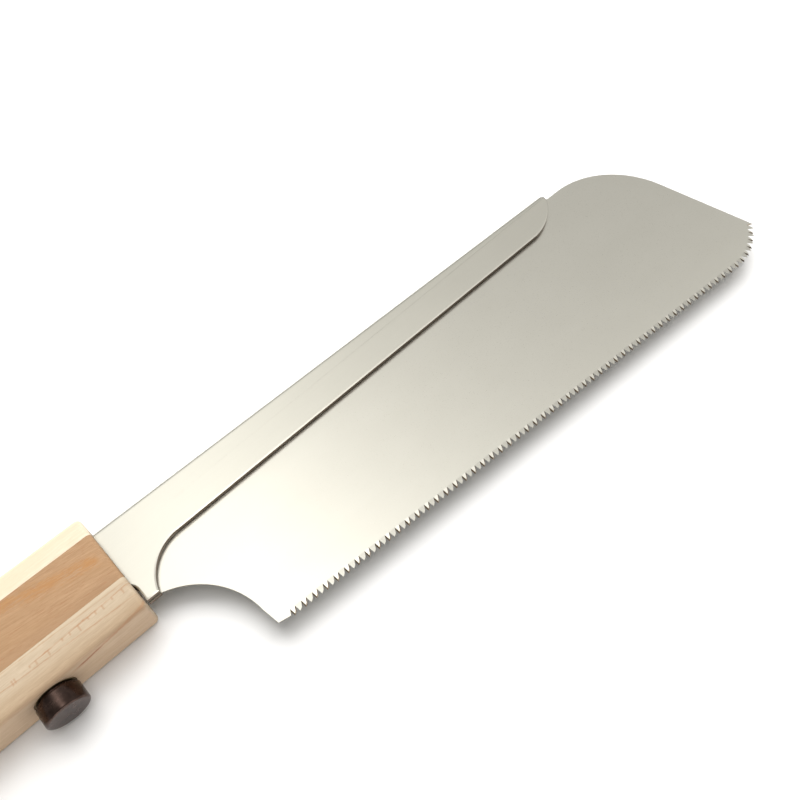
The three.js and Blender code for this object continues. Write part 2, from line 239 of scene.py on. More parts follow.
def soften(obj, width, segments=3, degrees=30):
    """Rounds the edges sharper than an angle, and keeps the flat faces flat in the light."""
    bevel = obj.modifiers.new("soften", "BEVEL")
    bevel.width = width * MM
    bevel.segments = segments
    bevel.limit_method = "ANGLE"
    bevel.angle_limit = math.radians(degrees)
    bevel.use_clamp_overlap = True
    apply_modifiers(obj)
    obj.data.shade_smooth()
    weight = obj.modifiers.new("flat faces", "WEIGHTED_NORMAL")
    weight.keep_sharp = False
    weight.weight = 100


def copy_of_node(node, name):
    """The CAD node's shape with its flat faces merged, ready for rounding."""
    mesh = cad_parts[node].data.copy()
    bm = bmesh.new()
    bm.from_mesh(mesh)
    bmesh.ops.remove_doubles(bm, verts=bm.verts, dist=0.001 * MM)
    bmesh.ops.dissolve_limit(bm, angle_limit=math.radians(0.4), verts=bm.verts, edges=bm.edges)
    bmesh.ops.recalc_face_normals(bm, faces=bm.faces)
    bm.to_mesh(mesh)
    bm.free()
    mesh.materials.clear()
    return new_object(name, mesh)


def box_tool(low, high):
    corners = [(x, y, z) for x in (low[0], high[0]) for y in (low[1], high[1]) for z in (low[2], high[2])]
    faces = [(0, 1, 3, 2), (4, 6, 7, 5), (0, 4, 5, 1), (2, 3, 7, 6), (0, 2, 6, 4), (1, 5, 7, 3)]
    return mesh_object("tool", corners, faces)


def arc(centre, radius, start, stop, steps):
    """Points round a centre, from one angle to another."""
    angles = [start + (stop - start) * i / steps for i in range(steps + 1)]
    return [(centre[0] + radius * math.cos(a), centre[1] + radius * math.sin(a)) for a in angles]


def ring_stack(rings, capped=True):
    """Points and faces of a tube through rings of equally many points."""
    count = len(rings[0])
    points = [p for ring in rings for p in ring]
    faces = []
    for level in range(len(rings) - 1):
        for i in range(count):
            a, b = level * count + i, level * count + (i + 1) % count
            faces.append((a, b, b + count, a + count))
    if capped:
        faces.append(tuple(reversed(range(count))))
        faces.append(tuple(range((len(rings) - 1) * count, len(rings) * count)))
    return points, faces


def turned(name, profile, axis, around=96):
    """A turning from (radius, distance along the axis) pairs.

    The axis is "y" for the clamp screw's, or ("z", x, y) for a bar across the handle. A profile that comes
    back to its start makes a ring, and any other is closed with flat ends.
    """
    rings = []
    for radius, along in profile:
        ring = []
        for i in range(around):
            a = 2 * math.pi * i / around
            c, s = radius * math.cos(a), radius * math.sin(a)
            ring.append((SCREW_X + c, along, s) if axis == "y" else (axis[1] + c, axis[2] + s, along))
        rings.append(ring)
    points, faces = ring_stack(rings, capped=profile[0] != profile[-1])
    return mesh_object(name, points, faces, merge=0.001)


def both_ends(lower):
    """The profile of a bar across the handle, from its lower end's."""
    return lower + [(radius, -z) for radius, z in reversed(lower)]


def drill(obj, radius, start, stop, axis, around=64):
    """Cuts a round hole between two distances along the axis."""
    cut(obj, turned("tool", [(radius, start), (radius, stop)], axis, around))


# ---------------------------------------------------------------- materials

# Places of the colour sockets on Blender's mix node, whose names repeat
MIX_FACTOR, MIX_FIRST, MIX_SECOND, MIX_RESULT = 0, 6, 7, 2


class Look:
    """One procedural material, in the saw's axes in millimetres. drift leans its grain across the saw."""

    def __init__(self, name, drift=0.0):
        self.material = bpy.data.materials.new(name)
        self.material.use_nodes = True
        self.tree = self.material.node_tree
        self.shader = next(n for n in self.tree.nodes if n.type == "BSDF_PRINCIPLED")
        coordinate = self.tree.nodes.new("ShaderNodeTexCoord")
        mapping = self.tree.nodes.new("ShaderNodeMapping")
        mapping.vector_type = "TEXTURE"
        mapping.inputs["Location"].default_value = ORIGIN
        mapping.inputs["Scale"].default_value = (MM, MM, MM)
        self.tree.links.new(coordinate.outputs["Object"], mapping.inputs["Vector"])
        lean = self.tree.nodes.new("ShaderNodeMapping")
        lean.inputs["Rotation"].default_value = (0.0, 0.0, math.atan(drift))
        self.tree.links.new(mapping.outputs["Vector"], lean.inputs["Vector"])
        self.square = mapping.outputs["Vector"]
        self.place = lean.outputs["Vector"]

    def link(self, value, socket):
        if isinstance(value, bpy.types.NodeSocket):
            self.tree.links.new(value, socket)
        else:
            socket.default_value = value

    def set(self, **values):
        for name, value in values.items():
            self.link(value, self.shader.inputs[name.replace("_", " ")])

    def math(self, operation, *values):
        node = self.tree.nodes.new("ShaderNodeMath")
        node.operation = operation
        for value, socket in zip(values, node.inputs):
            self.link(value, socket)
        return node.outputs[0]

    def add(self, a, b):
        return self.math("ADD", a, b)

    def times(self, a, b):
        return self.math("MULTIPLY", a, b)

    def scaled(self, x, y, z, shift):
        """The place, stretched along each axis and moved by shift to another part of the noise."""
        node = self.tree.nodes.new("ShaderNodeVectorMath")
        node.operation = "MULTIPLY_ADD"
        self.link(self.place, node.inputs[0])
        node.inputs[1].default_value = (x, y, z)
        node.inputs[2].default_value = (shift, shift * 0.7, shift * 1.3)
        return node.outputs[0]

    def noise(self, x, y, z, detail=3.0, rough=0.55, shift=0.0, distort=0.0):
        """Cloudy noise, with x, y and z as its blobs per millimetre along each axis."""
        node = self.tree.nodes.new("ShaderNodeTexNoise")
        node.inputs["Scale"].default_value = 1.0
        node.inputs["Detail"].default_value = detail
        node.inputs["Roughness"].default_value = rough
        node.inputs["Distortion"].default_value = distort
        self.link(self.scaled(x, y, z, shift), node.inputs["Vector"])
        return node.outputs["Fac"]

    def dots_along(self, per_mm):
        """Distance along X to the nearest of some random planes, in units of their mean spacing."""
        node = self.tree.nodes.new("ShaderNodeTexVoronoi")
        node.voronoi_dimensions = "1D"
        node.inputs["Scale"].default_value = per_mm
        self.link(self.axis("X"), node.inputs["W"])
        return node.outputs["Distance"]

    def remap(self, value, low, high, to_low=0.0, to_high=1.0, smooth=False):
        node = self.tree.nodes.new("ShaderNodeMapRange")
        node.interpolation_type = "SMOOTHSTEP" if smooth else "LINEAR"
        self.link(value, node.inputs["Value"])
        limits = {"From Min": low, "From Max": high, "To Min": to_low, "To Max": to_high}
        for socket, number in limits.items():
            node.inputs[socket].default_value = number
        return node.outputs["Result"]

    def mix(self, fac, a, b, blend="MIX"):
        """Colour a where fac is 0, and b where it is 1."""
        node = self.tree.nodes.new("ShaderNodeMix")
        node.data_type = "RGBA"
        node.blend_type = blend
        self.link(fac, node.inputs[MIX_FACTOR])
        for colour, socket in ((a, node.inputs[MIX_FIRST]), (b, node.inputs[MIX_SECOND])):
            self.link((*colour, 1.0) if isinstance(colour, tuple) else colour, socket)
        return node.outputs[MIX_RESULT]

    def tinted(self, colour, tint):
        return self.mix(1.0, colour, tint, "MULTIPLY")

    def axis(self, letter):
        node = self.tree.nodes.new("ShaderNodeSeparateXYZ")
        self.link(self.square, node.inputs[0])
        return node.outputs[letter]

    def along(self, letter, start, stop, to_low=0.0, to_high=1.0, smooth=True):
        """Goes from to_low to to_high between two places on an axis."""
        return self.remap(self.axis(letter), start, stop, to_low, to_high, smooth)

    def steepness(self):
        """0 on the flat sides, 1 on faces cut through the sheet."""
        geometry = self.tree.nodes.new("ShaderNodeNewGeometry")
        split = self.tree.nodes.new("ShaderNodeSeparateXYZ")
        self.link(geometry.outputs["True Normal"], split.inputs[0])
        return self.remap(self.math("ABSOLUTE", split.outputs["Z"]), 0.97, 0.85)

    def bump(self, height, strength, depth):
        node = self.tree.nodes.new("ShaderNodeBump")
        node.inputs["Strength"].default_value = strength
        node.inputs["Distance"].default_value = depth * MM
        self.link(height, node.inputs["Height"])
        self.link(node.outputs["Normal"], self.shader.inputs["Normal"])


def steel_look(name, light, dark, rough, streak, cut_face_shade, cut_face_shade_below=None):
    """Ground steel: very fine grain, with faint polishing streaks along the saw.

    The second last argument tints the narrow faces cut through the sheet darker and browner, where y is under
    the last argument: painted shade, standing in for the dark room these faces mirror.
    """
    look = Look(name)
    grain = look.noise(4.0, 5.0, 4.0, detail=4.0, rough=0.7)
    lines = look.noise(0.12, 6.0, 2.0, detail=5.0, rough=0.65, shift=3.1)
    cloud = look.noise(0.06, 0.10, 0.08, detail=3.0, shift=7.7)
    streaks = look.times(lines, streak)
    total = look.add(look.add(streaks, look.times(grain, 0.5)), look.times(cloud, 0.5))
    tone = look.remap(total, 0.35 + streak * 0.3, 0.65 + streak * 0.7)
    colour = look.mix(tone, dark, light)
    # Painted shade: the cut faces are darkened and browned like the dark room they mirror.
    cut_face_shade_mask = look.steepness()
    if cut_face_shade_below is not None:
        cut_face_shade_mask = look.times(cut_face_shade_mask, look.along("Y", cut_face_shade_below, cut_face_shade_below - 0.3, smooth=False))
    colour = look.mix(cut_face_shade_mask, colour, look.tinted(colour, cut_face_shade))
    look.set(Base_Color=colour, Metallic=1.0)
    look.set(Roughness=look.remap(grain, 0.3, 0.7, rough - 0.02, rough + 0.03))
    look.bump(look.add(streaks, look.times(grain, 0.6)), 0.12, 0.003)
    return look.material


def plain_metal_look(name, light, dark, rough, scale=3.0, relief=0.01):
    """Cast, plated or patinated metal: small blotches of tone and gloss."""
    look = Look(name)
    blotch = look.noise(scale * 0.3, scale * 0.3, scale * 0.3, detail=4.0, rough=0.6, shift=5.0)
    grain = look.noise(scale * 4, scale * 4, scale * 4, detail=3.0, shift=1.0)
    tone = look.remap(look.add(blotch, look.times(grain, 0.4)), 0.5, 0.95)
    look.set(Base_Color=look.mix(tone, dark, light), Metallic=1.0)
    look.set(Roughness=look.remap(blotch, 0.3, 0.7, rough - 0.05, rough + 0.08))
    look.bump(grain, 0.2, relief)
    return look.material


def wood_base(name, fibre_light, fibre_dark, band, fibre_scale, seed, drift=0.0):
    """Fibres along the handle, over slow bands of another tone. drift is how far they lean across it."""
    look = Look(name, drift)
    fibre = look.noise(0.11, fibre_scale, fibre_scale * 0.8, detail=6.0, rough=0.7, shift=seed)
    fine = look.noise(0.4, 4.6, 4.6, detail=3.0, rough=0.7, shift=seed + 2.0)
    bands = look.noise(0.02, 0.28, 0.2, detail=3.0, rough=0.5, shift=seed + 4.0, distort=0.3)
    tone = look.remap(look.add(fibre, look.times(fine, 0.9)), 0.70, 1.18)
    colour = look.mix(tone, fibre_light, fibre_dark)
    colour = look.mix(look.remap(bands, 0.42, 0.66, 0.0, 0.5, smooth=True), colour, band)
    look.set(Roughness=look.remap(fibre, 0.3, 0.7, 0.52, 0.64), Specular_IOR_Level=0.35)
    look.bump(look.add(fibre, look.times(fine, 0.8)), 0.35, 0.02)
    return look, colour


def growth_line(look, colour, tone, plane, width, strength, seed, broken, span=None):
    """A darker growth line where a plane meets the wood.

    plane is (x, y, z, offset), broken is how far the line fades in its gaps, and span, if given, is where it
    starts and ends along X and over what distance it fades there.
    """
    along, across, up, offset = plane
    distance = look.math("MULTIPLY_ADD", look.axis("X"), along, offset)
    distance = look.add(distance, look.times(look.axis("Y"), across))
    distance = look.add(distance, look.times(look.axis("Z"), up))
    wander = look.noise(0.10, 0.0, 0.0, detail=3.0, shift=seed + 11.0)
    distance = look.add(distance, look.remap(wander, 0.0, 1.0, -0.2, 0.2))
    ragged = look.noise(0.8, 4.0, 4.0, detail=3.0, shift=seed + 5.0)
    distance = look.add(look.math("ABSOLUTE", distance), look.remap(ragged, 0.0, 1.0, -width, width))
    mask = look.remap(distance, width, 0.0, 0.0, strength, smooth=True)
    gaps = look.noise(0.22, 0.3, 0.3, detail=2.0, shift=seed)
    mask = look.times(mask, look.remap(gaps, 0.40, 0.60, 1.0 - broken, 1.0))
    if span:
        low, high, fade = span
        mask = look.times(mask, look.along("X", low - fade, low))
        mask = look.times(mask, look.along("X", high + fade, high))
    return look.mix(mask, colour, tone)


def cream_wood_look():
    light, dark, band = (0.77, 0.665, 0.515), (0.69, 0.565, 0.41), (0.70, 0.575, 0.405)
    look, colour = wood_base("cream_wood", light, dark, band, fibre_scale=2.0, seed=21.0)
    look.set(Base_Color=colour)
    return look.material


def brown_wood_look():
    light, dark, band = (0.445, 0.280, 0.155), (0.325, 0.190, 0.098), (0.36, 0.215, 0.108)
    seam_tone, fleck_tone = (0.31, 0.185, 0.100), (0.33, 0.165, 0.08)
    orange_light, orange_dark = (0.43, 0.235, 0.098), (0.35, 0.165, 0.060)
    look, colour = wood_base("brown_wood", light, dark, band, fibre_scale=2.0, seed=3.0, drift=0.12)
    figure = look.noise(0.16, 1.1, 0.8, detail=4.0, rough=0.7, shift=47.0, distort=0.6)
    figured = look.remap(figure, 0.40, 0.54, smooth=True)
    orange_grain = look.noise(0.5, 3.0, 2.0, detail=3.0, rough=0.7, shift=51.0)
    orange = look.mix(orange_grain, orange_light, orange_dark)
    patch_plane, patch_span = (0.235, 1.0, 0.1, 8.1), (-40.0, -3.0, 2.0)
    patch = growth_line(
        look, colour, orange, patch_plane, width=2.6, strength=1.0, seed=31.0, broken=0.2, span=patch_span
    )
    colour = look.mix(figured, colour, patch)
    colour = look.mix(look.along("Y", -11.0, -15.0, 0.0, 0.45), colour, seam_tone)
    flecks = look.noise(0.45, 4.0, 1.2, detail=2.0, rough=0.5, shift=40.0)
    flecked = look.remap(flecks, 0.60, 0.72, 0.0, 0.6, smooth=True)
    look.set(Base_Color=look.mix(flecked, colour, fleck_tone))
    return look.material


def pale_wood_look():
    light, dark, band = (0.53, 0.425, 0.305), (0.43, 0.335, 0.23), (0.455, 0.345, 0.23)
    seam_tone, rust, brown = (0.56, 0.46, 0.325), (0.36, 0.175, 0.08), (0.27, 0.115, 0.055)
    look, colour = wood_base("pale_wood", light, dark, band, fibre_scale=1.6, seed=9.0)
    # Partly painted shade, partly the wood's own warmer tone: the broad face darkens towards its rounded
    # edge, which curves away from the light, and a little of it reaches the narrow face.
    edge_shade_and_tone = look.times(look.along("Y", -18.5, -24.0, 0.0, 0.9), look.along("Z", 4.5, 6.1, 0.15, 1.0))
    colour = look.mix(edge_shade_and_tone, colour, look.tinted(colour, (0.78, 0.69, 0.60)))
    colour = look.mix(look.along("Y", -16.4, -15.6, 0.0, 0.6), colour, seam_tone)
    ticked_slope, ticked_offset = -0.03, 17.0
    arris_plane = (-0.194, 1.0, 1.0, 17.13)
    for tone, plane, width, strength, seed, broken, span in (
        (rust, (0.033, 1.0, 0.05, 16.2), 0.22, 0.45, 2.0, 0.5, None),
        (rust, (ticked_slope, 1.0, 0.05, ticked_offset), 0.30, 0.80, 1.0, 0.6, (-24.0, 5.0, 1.0)),
        (rust, (0.055, 1.0, 0.1, 19.9), 0.22, 0.50, 6.0, 0.5, None),
        (rust, arris_plane, 0.75, 0.55, 3.0, 0.2, (-17.5, 5.0, 3.0)),
        (brown, arris_plane, 0.60, 0.95, 8.0, 0.0, (-16.4, -13.0, 2.2)),
    ):
        colour = growth_line(look, colour, tone, plane, width, strength, seed, broken, span)
    height = look.add(look.axis("Y"), ticked_offset + 0.3)
    from_line = look.add(height, look.times(look.axis("X"), ticked_slope))
    reach = look.remap(look.noise(0.5, 0.0, 0.0, detail=1.0, shift=33.0), 0.3, 0.7, -1.5, -0.3)
    ticks = look.remap(look.dots_along(0.42), 0.14, 0.02, 0.0, 0.4, smooth=True)
    within_reach = look.remap(look.math("SUBTRACT", from_line, reach), -0.2, 0.1, smooth=True)
    below_line = look.remap(from_line, 0.15, -0.05, smooth=True)
    on_broad_face = look.along("Z", 5.0, 6.0, smooth=False)
    for limit in (within_reach, below_line, on_broad_face):
        ticks = look.times(ticks, limit)
    colour = look.mix(ticks, colour, rust)
    # Painted shade: the narrow face is tinted darker and warmer, as it faces away from the main light.
    narrow_face_shade = look.along("Y", HANDLE_BOTTOM + 0.7, HANDLE_BOTTOM)
    colour = look.mix(narrow_face_shade, colour, look.tinted(colour, (1.0, 0.92, 0.87)))
    look.set(Base_Color=colour)
    return look.material


LOOKS = {
    # The third colour of each steel is painted shade for its cut faces.
    "blade_steel": steel_look(
        "blade_steel", (0.68, 0.663, 0.588), (0.65, 0.633, 0.558), rough=0.29, streak=0.15,
        cut_face_shade=(0.42, 0.34, 0.28),
    ),
    "back_steel": steel_look(
        "back_steel", (0.68, 0.663, 0.583), (0.64, 0.623, 0.547), rough=0.32, streak=0.5,
        cut_face_shade=(0.30, 0.22, 0.18), cut_face_shade_below=-FOLD_ROUNDING,
    ),
    "zinc_steel": plain_metal_look("zinc_steel", (0.62, 0.62, 0.60), (0.46, 0.46, 0.45), rough=0.42),
    # Partly aged brass, partly painted shade: kept dark because its flange shows only in the shaded gap under
    # the knob.
    "brass": plain_metal_look("brass", (0.36, 0.27, 0.15), (0.24, 0.17, 0.09), rough=0.40),
    "dark_bronze": plain_metal_look(
        "dark_bronze", (0.102, 0.067, 0.055), (0.042, 0.027, 0.022), rough=0.23, scale=2.0, relief=0.002
    ),
    "cream_wood": cream_wood_look(),
    "brown_wood": brown_wood_look(),
    "pale_wood": pale_wood_look(),
}


def piece(obj, body, slot, node):
    """Gives a finished piece its look, hangs it on the empty of the body it rides on, and hides the imported
    node it stands for.
    """
    obj.data.materials.clear()
    obj.data.materials.append(LOOKS[slot])
    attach(obj, body)
    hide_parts(node)


# ---------------------------------------------------------------- blade

def tip_curve(distance):
    """Point on the line through the tooth tips, and the direction from it into the blade."""
    straight = STRAIGHT_TEETH * PITCH
    along = Vector((math.cos(TOOTH_LINE_ANGLE), -math.sin(TOOTH_LINE_ANGLE)))
    inward = Vector((-along.y, along.x))
    flat = FIRST_GULLET + along * min(distance, straight)
    if distance <= straight:
        return flat, inward
    turn = Matrix.Rotation((distance - straight) / TOE_RADIUS, 2)
    centre = flat + inward * TOE_RADIUS
    inward = turn @ inward
    return centre - inward * TOE_RADIUS, inward


def tooth_point(tooth, along, height):
    point, inward = tip_curve(tooth * PITCH + along)
    return point + inward * (TOOTH_DEPTH - height)


def toe_corner():
    return tooth_point(STRAIGHT_TEETH + ARC_TEETH, 0.5 * PITCH, TOOTH_DEPTH)


def spine_and_nose():
    """Outline from the tang's rear end along the spine and round the nose to the toe's corner."""
    toe = toe_corner()
    corner_x = toe.x - math.tan(TOE_LEAN) * (BLADE_TOP - toe.y)
    nose_x = corner_x - NOSE_RADIUS * math.tan((math.pi / 2 - TOE_LEAN) / 2)
    nose = arc((nose_x, BLADE_TOP - NOSE_RADIUS), NOSE_RADIUS, math.pi / 2, TOE_LEAN, 48)
    return [(TANG_REAR, BLADE_TOP)] + nose + [toe]


def heel_and_tang():
    """Outline from the heel's corner through its hollow, the neck and the shoulder to the tang's rear end."""
    neck_y = NECK_BOTTOM + BLADE_INSET
    neck_turn = math.asin((neck_y - HEEL_CENTRE[1]) / HEEL_RADIUS)
    shoulder_x = NECK_HEEL + BLADE_INSET
    tang_y = TANG_BOTTOM + BLADE_INSET
    fillet_y = tang_y - SHOULDER_FILLET
    run = [HEEL_CORNER] + arc(HEEL_CENTRE, HEEL_RADIUS, HEEL_START, neck_turn, 40)
    run += [(shoulder_x, neck_y), (shoulder_x, fillet_y)]
    run += arc((shoulder_x - SHOULDER_FILLET, fillet_y), SHOULDER_FILLET, 0.0, math.pi / 2, 8)[1:]
    return run + [(TANG_REAR, tang_y)]


def tang_slot(radius):
    """Cutter for the slot that is open at the tang's rear end."""
    rear = TANG_REAR - CUT_REACH
    flat = [(rear, PIN_Y - radius)]
    flat += arc((PIN_XS["locating_pin"], PIN_Y), radius, -math.pi / 2, math.pi / 2, 24)
    flat += [(rear, PIN_Y + radius)]
    points, faces = ring_stack([[(x, y, z) for x, y in flat] for z in (-CUT_REACH, CUT_REACH)])
    return mesh_object("tool", points, faces)


def build_blade():
    """The blade, whose teeth are bevelled from alternate faces and set to alternate sides."""
    teeth = STRAIGHT_TEETH + ARC_TEETH
    points, faces, rims = [], [], []

    def add(flat, z):
        points.append((flat[0], flat[1], z))
        return len(points) - 1

    for side in (1, -1):
        z = side * BLADE_HALF
        spine = [add(p, z) for p in spine_and_nose()]
        plain = add(tooth_point(-1, *WIDE_TOOTH[1]), z)  # where the short edge without teeth starts
        heel = [add(p, z) for p in heel_and_tang()]
        gullets, tips, backs = [], [], []
        for i in range(teeth + 1):
            swing = FLEAM * (1 if i % 2 == 0 else -1) * side
            gullets.append(add(tooth_point(i, swing, 0.0), z))
        for i in range(teeth):
            narrow = (i % 2 == 0) == (side == 1)
            lean = TOOTH_SET * (-1 if i % 2 == 0 else 1)
            tip, back = NARROW_TOOTH if narrow else WIDE_TOOTH
            tips.append(add(tooth_point(i, *tip), z + lean * tip[1] / TOOTH_DEPTH))
            backs.append(add(tooth_point(i, *back), z + lean * back[1] / TOOTH_DEPTH))
        faces.append(tuple(spine + gullets[::-1] + [plain] + heel))
        rim = spine + [gullets[-1]]
        for i in range(teeth):
            faces.append((gullets[i], tips[i], backs[i], gullets[i + 1]))
        for i in reversed(range(teeth)):
            rim += [backs[i], tips[i], gullets[i]]
        rims.append(rim + [plain] + heel)

    top, bottom = rims
    for i in range(len(top)):
        j = (i + 1) % len(top)
        faces.append((top[i], top[j], bottom[j], bottom[i]))
    obj = mesh_object("blade_ground", points, faces)
    cut(obj, tang_slot(PIN_RADIUS + 2 * FIT_GAP))
    for x in RIVET_XS.values():
        drill(obj, RIVET_RADIUS + RIVET_FIT, -CUT_REACH, CUT_REACH, ("z", x, PIN_Y), around=48)
    shade(obj, 4)  # the set teeth lean by only a few degrees
    return obj


piece(build_blade(), "blade_unit", "blade_steel", "blade")


# ---------------------------------------------------------------- folded back

def roll_down_edges(obj):
    """Lowers the rim of both flat leaves, as a punched sheet's rounded-over edge. The fold stays."""
    bm = bmesh.new()
    bm.from_mesh(obj.data)
    for side in (1, -1):
        level = ORIGIN.z + side * BACK_HALF * MM
        leaf = [f for f in bm.faces if all(abs(v.co.z - level) < 2e-6 for v in f.verts)]
        inset = bmesh.ops.inset_region(bm, faces=leaf, thickness=ROLLED_WIDTH * MM, use_even_offset=True)
        inner = {v for f in leaf for v in f.verts}
        for v in {v for f in inset["faces"] for v in f.verts} - inner:
            if v.co.y < ORIGIN.y - (FOLD_ROUNDING + 0.2) * MM:
                v.co.z -= side * ROLLED_DROP * MM
    bm.to_mesh(obj.data)
    bm.free()


def crease_leaves(obj):
    """Keeps the line where each flat leaf meets its rounded-over edge sharp."""
    bm = bmesh.new()
    bm.from_mesh(obj.data)
    bm.normal_update()
    for e in bm.edges:
        tilts = sorted(abs(f.normal.z) for f in e.link_faces)
        rolled = all(v.co.y < ORIGIN.y - (FOLD_ROUNDING + 0.3) * MM for v in e.verts)
        e.smooth = not (rolled and len(tilts) == 2 and tilts[1] > 0.9999 and 0.9 < tilts[0] < 0.99)
    bm.to_mesh(obj.data)
    bm.free()
    obj.modifiers["flat faces"].keep_sharp = True


def domed_rivet(name, x):
    profile = both_ends([(radius, -BACK_HALF - height) for radius, height in RIVET_HEAD])
    obj = turned(name, profile, ("z", x, PIN_Y), 64)
    shade(obj, 40)
    return obj


back = copy_of_node("back_stiffener", "back_folded")
roll_down_edges(back)
soften(back, 0.10, degrees=32)
crease_leaves(back)
piece(back, "blade_unit", "back_steel", "back_stiffener")

for node, x in RIVET_XS.items():
    piece(domed_rivet(node.replace("tang", "domed"), x), "blade_unit", "back_steel", node)


# ---------------------------------------------------------------- handle

def handle_bar():
    """The whole wooden bar, with rounded long edges, ends and corners."""
    def ring(turn):
        inset = EDGE_ROUNDING * (1 - math.sin(turn))
        z = HANDLE_HALF - EDGE_ROUNDING + EDGE_ROUNDING * math.cos(turn)
        low = Vector((inset - HANDLE_LENGTH, HANDLE_BOTTOM + inset))
        high = Vector((-inset, HANDLE_TOP - inset))
        butt = BUTT_CORNER - inset
        nose = max(EDGE_ROUNDING - inset, SHARPEST_CORNER)
        flat = arc((high.x - nose, high.y - nose), nose, 0.0, math.pi / 2, 8)
        flat += arc((low.x + butt, high.y - butt), butt, math.pi / 2, math.pi, 14)
        flat += arc((low.x + butt, low.y + butt), butt, math.pi, 1.5 * math.pi, 14)
        flat += arc((high.x - nose, low.y + nose), nose, 1.5 * math.pi, 2 * math.pi, 8)
        return [(x, y, -z) for x, y in flat]

    steps = 8
    lower = [ring(math.pi / 2 * i / steps) for i in range(steps + 1)]
    upper = [[(x, y, -z) for x, y, z in level] for level in reversed(lower)]
    points, faces = ring_stack(lower + upper)
    return mesh_object("bar", points, faces)


def strip(name, low, high):
    """The part of the bar between two glue lines, cut for the socket, the pins and the insert."""
    obj = handle_bar()
    obj.name = name
    bm = bmesh.new()
    bm.from_mesh(obj.data)
    for y, side in ((low, -1), (high, 1)):
        if y is None:
            continue
        cutting = bmesh.ops.bisect_plane(
            bm,
            geom=bm.verts[:] + bm.edges[:] + bm.faces[:],
            plane_co=ORIGIN + Vector((0, y, 0)) * MM,
            plane_no=(0, side, 0),
            clear_outer=True,
        )
        edges = [e for e in cutting["geom_cut"] if isinstance(e, bmesh.types.BMEdge)]
        bmesh.ops.edgeloop_fill(bm, edges=edges)
    bmesh.ops.recalc_face_normals(bm, faces=bm.faces)
    bm.to_mesh(obj.data)
    bm.free()
    slot_half = SOCKET_HALF + FIT_GAP
    slot_rear, slot_top = SOCKET_REAR - FIT_GAP, SOCKET_TOP + FIT_GAP
    cut(obj, box_tool((slot_rear, SLOT_BOTTOM, -slot_half), (CUT_REACH, slot_top, slot_half)))
    for x in PIN_XS.values():
        drill(obj, PIN_RADIUS + PIN_FIT, -PIN_HOLE_HALF, PIN_HOLE_HALF, ("z", x, PIN_Y))
    if low is None:
        flange_seat = HANDLE_BOTTOM + INSERT_FLANGE + FLANGE_GAP
        drill(obj, INSERT_RADIUS + FIT_GAP, SCREW_HOLE_START, SLOT_BOTTOM + CUT_REACH, "y")
        drill(obj, INSERT_FLANGE_RADIUS + FIT_GAP / 2, SCREW_HOLE_START, flange_seat, "y")
    shade(obj)
    return obj


def cross_pin(name, x):
    lower = [(0.0, -PIN_HALF), (PIN_RADIUS - PIN_CHAMFER, -PIN_HALF), (PIN_RADIUS, PIN_CHAMFER - PIN_HALF)]
    obj = turned(name, both_ends(lower), ("z", x, PIN_Y), 64)
    shade(obj, 30)
    return obj


spine_strip = strip("strip_spine", SPINE_SEAM + HAIRLINE, None)
middle_strip = strip("strip_middle", TOOTH_SEAM + HAIRLINE, SPINE_SEAM - HAIRLINE)
tooth_strip = strip("strip_tooth", None, TOOTH_SEAM - HAIRLINE)
piece(spine_strip, "handle", "cream_wood", "handle_strip_spine")
piece(middle_strip, "handle", "brown_wood", "handle_strip_middle")
piece(tooth_strip, "handle", "pale_wood", "handle_strip_tooth")

for node, x in PIN_XS.items():
    piece(cross_pin(node + "_turned", x), "handle", "zinc_steel", node)

socket = copy_of_node("tang_socket", "socket_folded")
soften(socket, 0.12, segments=2)
piece(socket, "handle", "zinc_steel", "tang_socket")


# ---------------------------------------------------------------- clamp screw

def knob():
    """Thumb knob with a slightly crowned end, and the blind hole that holds the stud."""
    rim_rounding, base_rounding = 0.55, 0.3
    crown, crown_starts, crown_ends = 0.02, KNOB_RADIUS - 1.6, KNOB_RADIUS - 0.9
    rim_centre = (KNOB_RADIUS - rim_rounding, KNOB_END + rim_rounding + crown)
    base_centre = (KNOB_RADIUS - base_rounding, KNOB_BASE - base_rounding)
    socket_end = KNOB_BASE - KNOB_SOCKET_DEPTH
    profile = [(0.0, KNOB_END), (crown_starts, KNOB_END), (crown_ends, KNOB_END + crown)]
    profile += arc(rim_centre, rim_rounding, -math.pi / 2, 0.0, 7)
    profile += arc(base_centre, base_rounding, 0.0, math.pi / 2, 5)
    profile += [(BORE_RADIUS, KNOB_BASE), (BORE_RADIUS, socket_end), (0.0, socket_end)]
    obj = turned("knob_turned", profile, "y", 128)
    shade(obj, 32)
    return obj


def stud(low, high, around=48, rows_per_turn=8):
    """Threaded rod with a helical groove and chamfered ends."""
    rows = int((high - low) / THREAD_LEAD * rows_per_turn)
    rings = []
    for row in range(rows + 1):
        y = low + (high - low) * row / rows
        full = max(0.0, min(1.0, (y - low) / STUD_CHAMFER_LENGTH, (high - y) / STUD_CHAMFER_LENGTH))
        ring = []
        for i in range(around):
            a = 2 * math.pi * i / around
            phase = (y / THREAD_LEAD + i / around) % 1.0
            crest = min(1.0, abs(phase - 0.5) * THREAD_SLOPE)
            radius = STUD_RADIUS - THREAD_DEPTH * (1 - crest) - STUD_CHAMFER * (1 - full)
            ring.append((SCREW_X + radius * math.cos(a), y, radius * math.sin(a)))
        rings.append(ring)
    points, faces = ring_stack(rings)
    obj = mesh_object("stud_threaded", points, faces)
    shade(obj, 50)
    return obj


